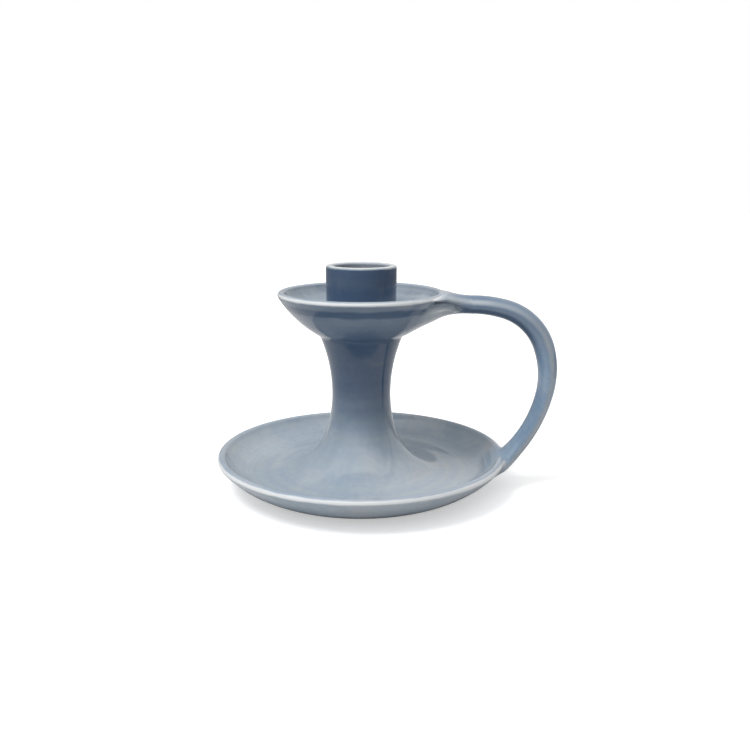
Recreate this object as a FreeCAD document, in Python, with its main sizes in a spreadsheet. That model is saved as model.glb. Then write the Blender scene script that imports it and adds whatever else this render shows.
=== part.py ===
import FreeCAD, Part
import math
import os
import Sketcher

# Chamberstick with a large loop handle, in millimetres.
# The origin is on the table, on the axis of the stem. +Z is up and the handle points along +X.
# Every piece is turned about the Z axis, except the pulled handle and its two clay joins.

DRIVING_SIZES = {
    # Saucer
    "saucer_radius": 60.3,
    "saucer_base_inset": 16.1,
    "saucer_floor_inset": 17.3,
    "saucer_thickness": 5.4,
    "saucer_depth": 6.6,
    "saucer_rim_rounding": 1.7,
    "saucer_wall_curve": 36.4,
    # Foot ring
    "foot_height": 1.4,
    "foot_width": 5.2,
    "foot_inset": 3.6,
    "foot_rounding": 0.5,
    # Stem
    "stem_waist_radius": 12.2,
    "stem_waist_rise": 32.7,
    "stem_throat_rise": 23.7,
    "stem_upper_curve": 65.0,
    "stem_sweep_angle": 20.0,
    "stem_floor_gap": 5.5,
    "stem_seam_rise": 4.2,
    "stem_wall": 4.2,
    # Drip pan
    "throat_rounding": 3.0,
    "throat_angle": 58.0,
    "pan_radius": 34.1,
    "pan_floor_rise": 9.3,
    "pan_floor_gap": 3.6,
    "pan_depth": 8.5,
    "pan_rim_rounding": 1.4,
    "pan_wall_curve": 47.0,
    # Candle socket
    "candle_bore_radius": 11.5,
    "socket_wall": 2.9,
    "socket_rise": 12.0,
    "socket_lip_rounding": 1.2,
    "socket_seat_depth": 1.5,
    "socket_floor_thickness": 4.5,
    # Handle
    "handle_thickness": 8.4,
    "handle_width": 11.0,
    "handle_start_gap": 10.9,
    "handle_start_drop": 3.6,
    "handle_start_angle": 1.0,
    "crown_angle": 16.5,
    "shoulder_angle": 55.0,
    "grip_angle": 31.5,
    "tail_angle": 26.6,
    "tail_root_angle": 8.4,
    "handle_end_inset": 1.26,
    "handle_end_drop": 2.48,
    # Clay joins of the handle
    "upper_root_width": 36.0,
    "web_depth": 6.4,
    "lower_root_width": 22.0,
    "lower_root_inset": 5.7,
    "lower_root_drop": 4.8,
    "lower_root_angle": 10.0,
    # One overrun for all cuts
    "cut_overrun": 8.0,
}


class Size:
    """A length or angle that carries its number and the spreadsheet formula that gives it."""

    def __init__(self, number, formula):
        self.number = float(number)
        self.formula = formula

    def __add__(self, other):
        other = as_size(other)
        return Size(self.number + other.number, f"({self.formula} + {other.formula})")

    def __radd__(self, other):
        return as_size(other) + self

    def __sub__(self, other):
        other = as_size(other)
        return Size(self.number - other.number, f"({self.formula} - {other.formula})")

    def __rsub__(self, other):
        return as_size(other) - self

    def __mul__(self, other):
        other = as_size(other)
        return Size(self.number * other.number, f"({self.formula} * {other.formula})")

    def __rmul__(self, other):
        return as_size(other) * self

    def __truediv__(self, other):
        other = as_size(other)
        return Size(self.number / other.number, f"({self.formula} / {other.formula})")

    def __neg__(self):
        return Size(-self.number, f"(0 - {self.formula})")


def as_size(value):
    if isinstance(value, Size):
        return value
    return Size(value, repr(value))


def root(value):
    return Size(math.sqrt(value.number), f"sqrt({value.formula})")


def sine(angle):
    return Size(math.sin(math.radians(angle.number)), f"sin({angle.formula})")


def cosine(angle):
    return Size(math.cos(math.radians(angle.number)), f"cos({angle.formula})")


doc = FreeCAD.newDocument("Chamberstick")
sheet = doc.addObject("Spreadsheet::Sheet", "Sizes")
size = {}
for row, (alias, number) in enumerate(DRIVING_SIZES.items(), start=1):
    sheet.set(f"A{row}", alias)
    sheet.set(f"B{row}", str(number))
    sheet.setAlias(f"B{row}", alias)
    size[alias] = Size(number, f"Sizes.{alias}")
doc.recompute()

worked_out = doc.addObject("App::VarSet", "WorkedOut")


def keep(name, value):
    """Keeps a worked-out size in the document, so that other formulas can use it by its name."""
    worked_out.addProperty("App::PropertyFloat", name)
    setattr(worked_out, name, value.number)
    worked_out.setExpression(name, value.formula)
    return Size(value.number, f"WorkedOut.{name}")


# Sketches and turned bodies

def arc_through(start, end, radius, turns_left):
    """The circle arc of a given radius between two points; turns_left says which side its centre is on."""
    middle = (start + end) / 2
    chord = end - start
    side = FreeCAD.Vector(-chord.y, chord.x, 0) if turns_left else FreeCAD.Vector(chord.y, -chord.x, 0)
    side.normalize()
    centre = middle + side * math.sqrt(max(radius * radius - (chord.Length / 2) ** 2, 0))
    circle = Part.Circle(centre, FreeCAD.Vector(0, 0, 1), radius)
    first, last = (start, end) if turns_left else (end, start)
    return Part.ArcOfCircle(circle, circle.parameter(first), circle.parameter(last))


def fix_point(sketch, geometry, end, across, up, name):
    """Ties one end of an edge to its place, by the spreadsheet."""
    for word, value, axis in (("across", across, -2), ("up", up, -1)):
        if value.number == 0:
            sketch.addConstraint(Sketcher.Constraint("PointOnObject", geometry, end, axis))
            continue
        kind = "DistanceX" if word == "across" else "DistanceY"
        place = sketch.addConstraint(Sketcher.Constraint(kind, -1, 1, geometry, end, value.number))
        sketch.renameConstraint(place, f"{name}_{word}")
        sketch.setExpression(f"Constraints.{name}_{word}", value.formula)


def draw_outline(sketch, corners):
    """Draws a closed outline of (across, up, bend) corners.

    The bend belongs to the edge that leaves the corner: None is straight, (radius, "left") or
    (radius, "right") is an arc whose centre lies on that side of the way round.
    """
    ends = []
    for number, (across, up, bend) in enumerate(corners):
        next_across, next_up, _ = corners[(number + 1) % len(corners)]
        start = FreeCAD.Vector(across.number, up.number, 0)
        end = FreeCAD.Vector(next_across.number, next_up.number, 0)
        if bend is None:
            edge = sketch.addGeometry(Part.LineSegment(start, end), False)
            ends.append((edge, 1, 2))
            continue
        radius, side = bend
        turns_left = side == "left"
        edge = sketch.addGeometry(arc_through(start, end, radius.number, turns_left), False)
        ends.append((edge, 1, 2) if turns_left else (edge, 2, 1))
    for number, (edge, first, _) in enumerate(ends):
        before, _, last = ends[number - 1]
        sketch.addConstraint(Sketcher.Constraint("Coincident", before, last, edge, first))
    for number, (across, up, bend) in enumerate(corners):
        edge, first, _ = ends[number]
        fix_point(sketch, edge, first, across, up, f"corner{number}")
        if bend is not None:
            place = sketch.addConstraint(Sketcher.Constraint("Radius", edge, bend[0].number))
            sketch.renameConstraint(place, f"bend{number}")
            sketch.setExpression(f"Constraints.bend{number}", bend[0].formula)


def turned_body(name, corners):
    """A body turned about the Z axis from its half outline."""
    body = doc.addObject("PartDesign::Body", name)
    body.Label = name
    sketch = body.newObject("Sketcher::SketchObject", f"{name}_outline")
    front = [plane for plane in body.Origin.OriginFeatures if plane.Role == "XZ_Plane"][0]
    sketch.AttachmentSupport = [(front, "")]
    sketch.MapMode = "FlatFace"
    doc.recompute()
    draw_outline(sketch, corners)
    doc.recompute()
    turning = body.newObject("PartDesign::Revolution", f"{name}_turning")
    turning.Profile = sketch
    turning.ReferenceAxis = (sketch, ["V_Axis"])
    turning.Angle = 360
    sketch.Visibility = False
    body.Tip = turning
    doc.recompute()
    return body


def wall_meets_rim(start_across, start_up, rim_across, rim_up, rounding, curve, name):
    """Where an outward bowed wall of a given radius touches the circle of its rim."""
    run = rim_across - start_across
    rise = rim_up - start_up
    reach = keep(f"{name}_wall_reach", root(run * run + rise * rise))
    inner = curve - rounding
    along_reach = (curve * curve - inner * inner + reach * reach) / (2 * reach)
    off_reach = root(curve * curve - along_reach * along_reach)
    centre_across = keep(f"{name}_wall_across", start_across + (run * along_reach - rise * off_reach) / reach)
    centre_up = keep(f"{name}_wall_up", start_up + (rise * along_reach + run * off_reach) / reach)
    touch_across = centre_across + (rim_across - centre_across) * curve / inner
    touch_up = centre_up + (rim_up - centre_up) * curve / inner
    return touch_across, touch_up


def inner_tangent_curve(run, rise, rounding):
    """Radius of the arc that leaves a level floor and touches a rim circle that far along and up."""
    return (run * run + rise * rise - rounding * rounding) / (2 * (rise + rounding))


# Foot ring: a low turned ring with softened lower edges

level = Size(0, "0")
base_radius = size["saucer_radius"] - size["saucer_base_inset"]
foot_outer = base_radius - size["foot_inset"]
foot_inner = foot_outer - size["foot_width"]
foot_top = size["foot_height"]
foot_soft = size["foot_rounding"]

foot_ring = turned_body("foot_ring", [
    (foot_inner + foot_soft, level, None),
    (foot_outer - foot_soft, level, (foot_soft, "left")),
    (foot_outer, foot_soft, None),
    (foot_outer, foot_top, None),
    (foot_inner, foot_top, None),
    (foot_inner, foot_soft, (foot_soft, "left")),
])


# Heights of the stack, each set by the piece below it

floor_height = keep("floor_height", foot_top + size["saucer_thickness"])
rim_height = keep("rim_height", floor_height + size["saucer_depth"])
waist_height = keep("waist_height", floor_height + size["stem_waist_rise"])
throat_height = keep("throat_height", waist_height + size["stem_throat_rise"])
pan_floor_height = keep("pan_floor_height", throat_height + size["pan_floor_rise"])
pan_rim_height = keep("pan_rim_height", pan_floor_height + size["pan_depth"])
seat_height = keep("seat_height", pan_floor_height - size["socket_seat_depth"])
seam_height = keep("seam_height", floor_height + size["stem_seam_rise"])


# Stem: its outside is three arcs that touch, and its hollow follows them one wall inside

waist = size["stem_waist_radius"]
stem_wall = size["stem_wall"]
upper_curve = size["stem_upper_curve"]
sweep_angle = size["stem_sweep_angle"]
throat_rise = size["stem_throat_rise"]
floor_radius = keep("floor_radius", size["saucer_radius"] - size["saucer_floor_inset"])

# The sweep lands level on the saucer's floor, which sets its radius and that of the arc above it
sweep_centre = keep("sweep_centre", floor_radius - size["stem_floor_gap"])
spread = sweep_centre - waist
waist_rise = size["stem_waist_rise"]
bend_share = sine(sweep_angle) * cosine(sweep_angle) - (1 - cosine(sweep_angle)) * (1 - sine(sweep_angle))
lower_curve = keep("lower_curve", (
    waist_rise * cosine(sweep_angle) - spread * (1 - sine(sweep_angle))) / bend_share)
sweep_curve = keep("sweep_curve", (
    spread * sine(sweep_angle) - waist_rise * (1 - cosine(sweep_angle))) / bend_share)
sweep_start = waist + lower_curve * (1 - cosine(sweep_angle))
sweep_start_height = waist_height - lower_curve * sine(sweep_angle)
seam_drop = sweep_curve - size["stem_seam_rise"]

throat_radius = keep("throat_radius", waist + upper_curve - root(
    upper_curve * upper_curve - throat_rise * throat_rise))
seam_radius = keep("seam_radius", sweep_centre - root(
    sweep_curve * sweep_curve - seam_drop * seam_drop))

hollow_waist = waist - stem_wall
hollow_upper_curve = upper_curve + stem_wall
hollow_lower_curve = lower_curve + stem_wall
hollow_sweep_curve = sweep_curve + stem_wall
hollow_top = keep("hollow_top", waist + upper_curve - root(
    hollow_upper_curve * hollow_upper_curve - throat_rise * throat_rise))
hollow_sweep_start = waist + lower_curve - hollow_lower_curve * cosine(sweep_angle)
hollow_sweep_height = waist_height - hollow_lower_curve * sine(sweep_angle)
hollow_seam = keep("hollow_seam", sweep_centre - root(
    hollow_sweep_curve * hollow_sweep_curve - seam_drop * seam_drop))

stem = turned_body("stem", [
    (seam_radius, seam_height, (sweep_curve, "right")),
    (sweep_start, sweep_start_height, (lower_curve, "right")),
    (waist, waist_height, (upper_curve, "right")),
    (throat_radius, throat_height, None),
    (hollow_top, throat_height, (hollow_upper_curve, "left")),
    (hollow_waist, waist_height, (hollow_lower_curve, "left")),
    (hollow_sweep_start, hollow_sweep_height, (hollow_sweep_curve, "left")),
    (hollow_seam, seam_height, None),
])


# Saucer: a shallow dish whose middle rises to the seam of the stem

rim_soft = size["saucer_rim_rounding"]
rim_across = size["saucer_radius"] - rim_soft
wall_curve = size["saucer_wall_curve"]

wall_top, wall_top_height = wall_meets_rim(
    base_radius, foot_top, rim_across, rim_height, rim_soft, wall_curve, "saucer")
dish_curve = keep("dish_curve", inner_tangent_curve(
    rim_across - floor_radius, size["saucer_depth"], rim_soft))
rim_share = rim_soft / (dish_curve + rim_soft)
dish_edge = rim_across - (rim_across - floor_radius) * rim_share
dish_edge_height = rim_height + (dish_curve - size["saucer_depth"]) * rim_share

saucer = turned_body("saucer", [
    (hollow_seam, foot_top, None),
    (base_radius, foot_top, (wall_curve, "left")),
    (wall_top, wall_top_height, (rim_soft, "left")),
    (rim_across, rim_height + rim_soft, (rim_soft, "left")),
    (dish_edge, dish_edge_height, (dish_curve, "right")),
    (floor_radius, floor_height, None),
    (sweep_centre, floor_height, (sweep_curve, "right")),
    (seam_radius, seam_height, None),
    (hollow_seam, seam_height, None),
])


# Drip pan: a small bowl that springs from the stem's throat and carries the socket

pan_soft = size["pan_rim_rounding"]
pan_rim_across = size["pan_radius"] - pan_soft
throat_soft = size["throat_rounding"]
throat_angle = size["throat_angle"]
socket_bore = size["candle_bore_radius"]
socket_radius = socket_bore + size["socket_wall"]
pan_floor_radius = socket_radius + size["pan_floor_gap"]

throat_slope_share = throat_rise / upper_curve
bowl_start = keep("bowl_start", throat_radius + throat_soft * (
    root(1 - throat_slope_share * throat_slope_share) - cosine(throat_angle)))
bowl_start_height = keep("bowl_start_height", throat_height + throat_soft * (
    sine(throat_angle) - throat_slope_share))
bowl_curve = size["pan_wall_curve"]
bowl_top, bowl_top_height = wall_meets_rim(
    bowl_start, bowl_start_height, pan_rim_across, pan_rim_height, pan_soft, bowl_curve, "pan")
pan_curve = keep("pan_curve", inner_tangent_curve(
    pan_rim_across - pan_floor_radius, size["pan_depth"], pan_soft))
pan_rim_share = pan_soft / (pan_curve + pan_soft)
pan_edge = pan_rim_across - (pan_rim_across - pan_floor_radius) * pan_rim_share
pan_edge_height = pan_rim_height + (pan_curve - size["pan_depth"]) * pan_rim_share

pan_underside = [
    (throat_radius, throat_height, (throat_soft, "right")),
    (bowl_start, bowl_start_height, (bowl_curve, "left")),
    (bowl_top, bowl_top_height, (pan_soft, "left")),
]

drip_pan = turned_body("drip_pan", pan_underside + [
    (pan_rim_across, pan_rim_height + pan_soft, (pan_soft, "left")),
    (pan_edge, pan_edge_height, (pan_curve, "right")),
    (pan_floor_radius, pan_floor_height, None),
    (socket_radius, pan_floor_height, None),
    (socket_radius, seat_height, None),
    (hollow_top, seat_height, None),
    (hollow_top, throat_height, None),
])


# Socket floor: the clay disc that closes the hollow stem under the candle

socket_floor = turned_body("socket_floor", [
    (level, seat_height - size["socket_floor_thickness"], None),
    (hollow_top, seat_height - size["socket_floor_thickness"], None),
    (hollow_top, seat_height, None),
    (level, seat_height, None),
])


# Candle socket: a plain tube with a softened lip

lip_soft = size["socket_lip_rounding"]
socket_top = keep("socket_top", pan_rim_height + size["socket_rise"])

candle_socket = turned_body("candle_socket", [
    (socket_bore, seat_height, None),
    (socket_radius, seat_height, None),
    (socket_radius, socket_top - lip_soft, (lip_soft, "left")),
    (socket_radius - lip_soft, socket_top, None),
    (socket_bore + lip_soft, socket_top, (lip_soft, "left")),
    (socket_bore, socket_top - lip_soft, None),
])


# Handle: ellipses set square to a centre line of four arcs that touch

def section(name, reach, height, heading, half_thickness, half_width):
    """An ellipse across the strap; its heading is the angle of the centre line above +X."""
    ellipse = doc.addObject("Part::Ellipse", name)
    ellipse.MajorRadius = max(half_width.number, half_thickness.number)
    lying = half_width.number >= half_thickness.number
    wide, narrow = (half_width, half_thickness) if lying else (half_thickness, half_width)
    ellipse.setExpression("MajorRadius", wide.formula)
    ellipse.setExpression("MinorRadius", narrow.formula)
    upright = "rotation(vector(0; 1; 0); 90)"
    across = "rotation(vector(1; 1; 1); 120)" if lying else upright
    turn = f"rotation(vector(0; 1; 0); {(-heading).formula})"
    ellipse.setExpression(
        "Placement",
        f"placement(vector({reach.formula}; 0; {height.formula}); {turn} * {across})",
    )
    return ellipse


def along(reach, height, heading, curve, turn):
    """The point and heading after a clockwise arc of the centre line."""
    new_heading = heading - turn
    new_reach = reach + curve * (sine(heading) - sine(new_heading))
    new_height = height - curve * (cosine(heading) - cosine(new_heading))
    return new_reach, new_height, new_heading


def unit_path(heading, bends):
    """How far a row of (share, turn) bends goes across and up for each unit of their common radius."""
    path = (level, level, heading)
    for share, turn in bends:
        path = along(*path, as_size(share), turn)
    return path


def lofted(name, sections):
    loft = doc.addObject("Part::Loft", name)
    loft.Sections = sections
    loft.Solid = True
    loft.Ruled = False
    for each in sections:
        each.Visibility = False
    return loft


def cut_piece(name, base, tool):
    cut = doc.addObject("Part::Cut", name)
    cut.Base = base
    cut.Tool = tool
    return cut


half_thick = size["handle_thickness"] / 2
half_wide = size["handle_width"] / 2

# The strap leaves just outside the pan's rim and ends just inside the saucer's rim
start_reach = keep("start_reach", size["pan_radius"] + size["handle_start_gap"])
start_height = keep("start_height", pan_rim_height - size["handle_start_drop"])
start_angle = size["handle_start_angle"]
end_reach = size["saucer_radius"] - size["handle_end_inset"]
end_height = rim_height - size["handle_end_drop"]

# Two upper and two lower bends with set turns; one radius for each pair closes the way between the ends
crown_share = 1.0
shoulder_share = 0.492
grip_share = 1.0
tail_share = 1.54
crown_angle = size["crown_angle"]
shoulder_angle = size["shoulder_angle"]
grip_angle = size["grip_angle"]
tail_angle = size["tail_angle"]
root_angle = size["tail_root_angle"]

upper_path = unit_path(start_angle, [(crown_share, crown_angle), (shoulder_share, shoulder_angle)])
lower_path = unit_path(upper_path[2], [(grip_share, grip_angle), (tail_share, tail_angle + root_angle)])
upper_run = keep("upper_run", upper_path[0])
upper_rise = keep("upper_rise", upper_path[1])
lower_run = keep("lower_run", lower_path[0])
lower_rise = keep("lower_rise", lower_path[1])
whole_run = end_reach - start_reach
whole_rise = end_height - start_height
closing_share = upper_run * lower_rise - lower_run * upper_rise
upper_bend = keep("upper_bend", (whole_run * lower_rise - whole_rise * lower_run) / closing_share)
lower_bend = keep("lower_bend", (whole_rise * upper_run - whole_run * upper_rise) / closing_share)
tail_curve = lower_bend * tail_share

# Each bend has its number of sections; the shares swell and thin the pulled strap
centre_line = [
    (upper_bend * crown_share, crown_angle),
    (upper_bend * shoulder_share, shoulder_angle),
    (lower_bend * grip_share, grip_angle),
    (tail_curve, tail_angle),
]
section_counts = [1, 3, 2, 2]
thickness_shares = [0.89, 0.94, 0.98, 1.0, 1.0, 0.94, 0.86, 0.81, 0.83]
width_shares = [1.04, 1.0, 0.98, 0.97, 0.97, 0.97, 0.98, 1.02, 1.1]


def kept_place(name, place):
    reach, height, heading = place
    return keep(f"{name}_reach", reach), keep(f"{name}_height", height), heading


stations = [(start_reach, start_height, start_angle)]
for (curve, turn), count in zip(centre_line, section_counts):
    for _ in range(count):
        place = along(*stations[-1], curve, turn / count)
        stations.append(kept_place(f"station_{len(stations)}", place))

loop_sections = []
for number, (station, thick_share, wide_share) in enumerate(zip(stations, thickness_shares, width_shares)):
    loop_sections.append(section(
        f"strap_section_{number}", *station, half_thick * thick_share, half_wide * wide_share))

handle_loop = lofted("handle_loop", loop_sections)


# Upper root: a flare level with the pan's rim and a web below it, both cut to the pan's outside

flare_half_width = size["upper_root_width"] / 2

# Each section stands a share of the way from the strap back to the foot of the bowl.
# The flare starts inside the web, rises to the rim's height, thins to the rim's rounding and
# spreads to its full width.
flare_way_shares = [0.04, 0.15, 0.26, 0.37, 0.48, 0.59]
flare_rise_shares = [0.02, 0.33, 0.69, 0.89, 0.97, 1.0]
flare_thickness_shares = [0.84, 0.68, 0.38, 0.17, 0.04, 0.0]
flare_width_shares = [0.29, 0.37, 0.48, 0.67, 0.87, 1.0]

# The web sinks by its depth and swells, as shares of the strap's own thickness and width.
web_way_shares = [0.2, 0.4, 0.6, 0.8, 0.95]
web_drop_shares = [0.02, 0.09, 0.31, 0.62, 1.0]
web_thickness_shares = [0.88, 1.0, 1.19, 1.28, 1.15]
web_width_shares = [0.98, 0.96, 1.0, 1.1, 1.2]

way_back = start_reach - bowl_start
flare_rise = pan_rim_height - start_height
strap_start_thick = half_thick * thickness_shares[0]

flare_sections = []
for number, way_share in enumerate(flare_way_shares):
    flare_sections.append(section(
        f"flare_section_{number}",
        start_reach - way_back * way_share,
        start_height + flare_rise * flare_rise_shares[number],
        start_angle,
        pan_soft + (strap_start_thick - pan_soft) * flare_thickness_shares[number],
        flare_half_width * flare_width_shares[number]))
flare = lofted("rim_flare", flare_sections)

web_sections = [loop_sections[0]]
for number, way_share in enumerate(web_way_shares):
    web_sections.append(section(
        f"web_section_{number}",
        start_reach - way_back * way_share,
        start_height - size["web_depth"] * web_drop_shares[number],
        start_angle,
        half_thick * web_thickness_shares[number],
        half_wide * web_width_shares[number]))
web = lofted("under_web", web_sections)

pan_space = turned_body("pan_space", pan_underside + [
    (pan_rim_across, pan_rim_height + pan_soft, None),
    (pan_rim_across, pan_rim_height + pan_soft + size["cut_overrun"], None),
    (level, pan_rim_height + pan_soft + size["cut_overrun"], None),
    (level, throat_height, None),
])
outside_flare = cut_piece("outside_flare", flare, pan_space)
outside_web = cut_piece("outside_web", web, pan_space)

upper_root = doc.addObject("Part::Fuse", "upper_handle_root")
upper_root.Base = outside_flare
upper_root.Tool = outside_web


# Lower root: the strap widens and thins over the saucer's rim and ends inside the saucer's wall

root_half_width = size["lower_root_width"] / 2

at_rim = kept_place("at_rim", along(*stations[-1], tail_curve, root_angle / 2))
past_rim = kept_place("past_rim", along(*at_rim, tail_curve, root_angle / 2))
buried = (
    size["saucer_radius"] - size["lower_root_inset"],
    rim_height - size["lower_root_drop"],
    past_rim[2] - size["lower_root_angle"],
)
root_width_shares = [0.72, 0.92, 1.0]
root_thickness_shares = [0.84, 0.7, 0.28]
root_sections = [loop_sections[-1]]
for number, station in enumerate((at_rim, past_rim, buried)):
    root_sections.append(section(
        f"tail_section_{number}", *station,
        half_thick * root_thickness_shares[number],
        root_half_width * root_width_shares[number]))
lower_clay = lofted("lower_clay", root_sections)

lower_root = cut_piece("lower_handle_root", lower_clay, saucer)

doc.recompute()


# Pieces, checked and written

pieces = {
    "foot_ring": foot_ring,
    "saucer": saucer,
    "stem": stem,
    "drip_pan": drip_pan,
    "socket_floor": socket_floor,
    "candle_socket": candle_socket,
    "handle_loop": handle_loop,
    "upper_handle_root": upper_root,
    "lower_handle_root": lower_root,
}

for item in doc.Objects:
    if "Invalid" in item.State or "Error" in item.State:
        raise RuntimeError(f"{item.Name} did not build: {item.State}")
for name, piece in pieces.items():
    piece.Label = name
    shape = piece.Shape
    if shape.isNull() or not shape.isValid():
        raise RuntimeError(f"{name} has no valid shape")
    if len(shape.Solids) != 1:
        raise RuntimeError(f"{name} has {len(shape.Solids)} solids")

os.makedirs("parts", exist_ok=True)
for name, piece in pieces.items():
    piece.Shape.exportStep(f"parts/{name}.step")
    box = piece.Shape.BoundBox
    print(f"{name}: x {box.XMin:.2f} to {box.XMax:.2f}, y {box.YMin:.2f} to {box.YMax:.2f},"
          f" z {box.ZMin:.2f} to {box.ZMax:.2f}, volume {piece.Shape.Volume:.0f}")
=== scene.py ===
import math

import bpy
import numpy as np
from bpy.props import FloatProperty, FloatVectorProperty, IntProperty, PointerProperty
from mathutils import Matrix, Vector


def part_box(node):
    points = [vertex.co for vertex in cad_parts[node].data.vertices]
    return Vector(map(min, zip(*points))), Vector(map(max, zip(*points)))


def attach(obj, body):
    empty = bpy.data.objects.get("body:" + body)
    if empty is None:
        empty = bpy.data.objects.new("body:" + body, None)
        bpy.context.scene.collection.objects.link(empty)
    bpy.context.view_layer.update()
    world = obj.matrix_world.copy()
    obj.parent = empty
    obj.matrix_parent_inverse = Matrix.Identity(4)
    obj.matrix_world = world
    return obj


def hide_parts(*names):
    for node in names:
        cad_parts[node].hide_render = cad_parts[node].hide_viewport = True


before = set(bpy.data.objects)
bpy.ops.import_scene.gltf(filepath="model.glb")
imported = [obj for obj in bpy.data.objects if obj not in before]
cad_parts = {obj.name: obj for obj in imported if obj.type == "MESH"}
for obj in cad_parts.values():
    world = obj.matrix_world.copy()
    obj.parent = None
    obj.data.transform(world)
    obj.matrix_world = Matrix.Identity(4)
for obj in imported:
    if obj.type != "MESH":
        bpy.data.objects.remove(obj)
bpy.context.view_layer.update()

bl_info = {
    "name": "Glazed chamberstick",
    "version": (1, 0, 0),
    "blender": (4, 5, 0),
    "location": "View3D > Sidebar > Chamberstick",
    "description": "A blue glazed chamberstick with a loop handle, in a pale studio",
    "category": "Object",
}

MM = 0.001
WHITE = (1.0, 1.0, 1.0, 1.0)


def corner(node, end, axis):
    """One coordinate of a CAD node's box, in millimetres."""
    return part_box(node)[end][axis] / MM


# Sizes of the frame, in millimetres

FOOT_TOP = corner("saucer", 0, 2)
SAUCER_RADIUS = corner("saucer", 1, 1)
SAUCER_CREST = corner("saucer", 1, 2)
SEAM_HEIGHT = corner("stem", 0, 2)
SEAM_RADIUS = corner("stem", 1, 1)
THROAT_HEIGHT = corner("stem", 1, 2)
PAN_RADIUS = corner("drip_pan", 1, 1)
PAN_CREST = corner("drip_pan", 1, 2)
SOCKET_RADIUS = corner("candle_socket", 1, 1)
SOCKET_TOP = corner("candle_socket", 1, 2)
SEAT_HEIGHT = corner("candle_socket", 0, 2)
HOLLOW_TOP = corner("socket_floor", 1, 1)

# Sizes of the turned outlines between them, in millimetres

SAUCER_BASE_INSET = 16.1
SAUCER_FLOOR_INSET = 17.3
SAUCER_DEPTH = 6.6
SAUCER_RIM_ROUNDING = 1.7
SAUCER_WALL_CURVE = 36.4
STEM_WAIST_RADIUS = 12.2
STEM_THROAT_RISE = 23.7
STEM_UPPER_CURVE = 65.0
STEM_SWEEP_ANGLE = math.radians(20.0)
STEM_FLOOR_GAP = 5.5
STEM_WALL = 4.2
THROAT_ROUNDING = 3.0
THROAT_ANGLE = math.radians(58.0)
PAN_DEPTH = 8.5
PAN_RIM_ROUNDING = 1.4
PAN_WALL_CURVE = 47.0
PAN_FLOOR_GAP = 3.6
SOCKET_WALL = 2.9
SOCKET_LIP_ROUNDING = 1.2

# Handle, in millimetres and degrees

HANDLE_HALF_THICKNESS = 4.17
HANDLE_HALF_WIDTH = 5.5
HANDLE_START_GAP = 10.9
HANDLE_START_DROP = 3.6
HANDLE_START_ANGLE = 1.0
HANDLE_END_INSET = 1.26
HANDLE_END_DROP = 2.48
CROWN_ANGLE = 16.5
SHOULDER_ANGLE = 55.0
GRIP_ANGLE = 31.5
TAIL_ANGLE = 26.6
TAIL_ROOT_ANGLE = 8.4
SHOULDER_SHARE = 0.492
TAIL_SHARE = 1.54
THICKNESS_SHARES = [0.89, 0.94, 0.98, 1.0, 1.0, 0.94, 0.86, 0.81, 0.83]
WIDTH_SHARES = [1.04, 1.0, 0.98, 0.97, 0.97, 0.97, 0.98, 1.0, 1.04]
SECTION_COUNTS = [1, 3, 2, 2]

# Clay joins of the handle, in millimetres, degrees and shares of the way back to the bowl

FLARE_HALF_WIDTH = 18.0
FLARE_WAY_SHARES = [-0.1, 0.0, 0.15, 0.26, 0.37, 0.48, 0.59]
FLARE_RISE_SHARES = [0.0, 0.0, 0.25, 0.56, 0.84, 0.96, 1.0]
FLARE_THICKNESS_SHARES = [1.0, 1.0, 0.72, 0.42, 0.2, 0.05, 0.0]
FLARE_WIDTH_SHARES = [0.31, 0.318, 0.38, 0.48, 0.66, 0.87, 1.0]
WEB_DEPTH = 6.4
WEB_START_SHARE = -0.2
WEB_START_WIDTH_SHARE = 0.98
WEB_WAY_SHARES = [0.0, 0.2, 0.4, 0.6, 0.8, 0.95]
WEB_DROP_SHARES = [0.0, 0.02, 0.09, 0.31, 0.62, 1.0]
WEB_THICKNESS_SHARES = [0.89, 0.88, 1.0, 1.19, 1.28, 1.15]
WEB_WIDTH_SHARES = [1.04, 1.04, 1.5, 2.1, 2.3, 2.3]
SHOULDER_DROP = 2.8
SHOULDER_HALF_THICKNESS = 2.5
SHOULDER_WIDTH_SHARE = 0.88
SHOULDER_END_SHARE = 0.26
SHOULDER_END_STEEPNESS = 14.0
# Painted light on the web's flank under the upper join
FLANK_LIGHT_SHARE = 1.3
EDGE_TURN = math.radians(64.0)
EDGE_SPREAD = math.radians(28.0)
TAIL_HALF_WIDTH = 11.0
TAIL_INSET = 5.7
TAIL_DROP = 4.8
TAIL_END_ANGLE = 10.0
TAIL_WIDTH_SHARES = [0.62, 0.85, 1.0]
TAIL_THICKNESS_SHARES = [0.84, 0.7, 0.28]

# Fields and meshes of the handle, in millimetres

STRAP_STEP = 0.9
STRAP_AROUND = 64
FINE_STRAP_STEP = 0.25
FINE_OUTLINE_STEP = 0.3
FIELD_MARGIN = 1.2
FIELD_LIMIT = 1.0
SEAM_OVERLAP = 1.0
SEAM_FADE = 0.6
SETTLING_STEPS = 4
EDGE_SHADING = 0.12

# Glaze, in millimetres and shares

# Heights over which painted shade grows up the stem
SHADE_START_RISE = 9.0
SHADE_END_RISE = 7.0
# Painted shade on the handle's top run
STRAP_RUN_HEIGHT = 52.0
STRAP_RUN_SHARE = 0.55
STRAP_COLOUR_SHARE = 0.9
INSIDE_SHARE = 0.32
BLOTCH_SHARE = 0.16
SPECK_SHARE = 0.5
CLAY_SPECK_SHARE = 0.6
LINE_SHARE = 0.9
# Painted shade in a band under the drip pan's rim
RIM_SHADE_SHARE = 0.95
RIM_SHADE_WIDTH = 2.8
RIM_SHADE_INSET = 1.0
RIM_SHADE_DROP = 5.4
GLAZE_REFRACTION = 1.52

# Heights and radii that follow

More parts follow.
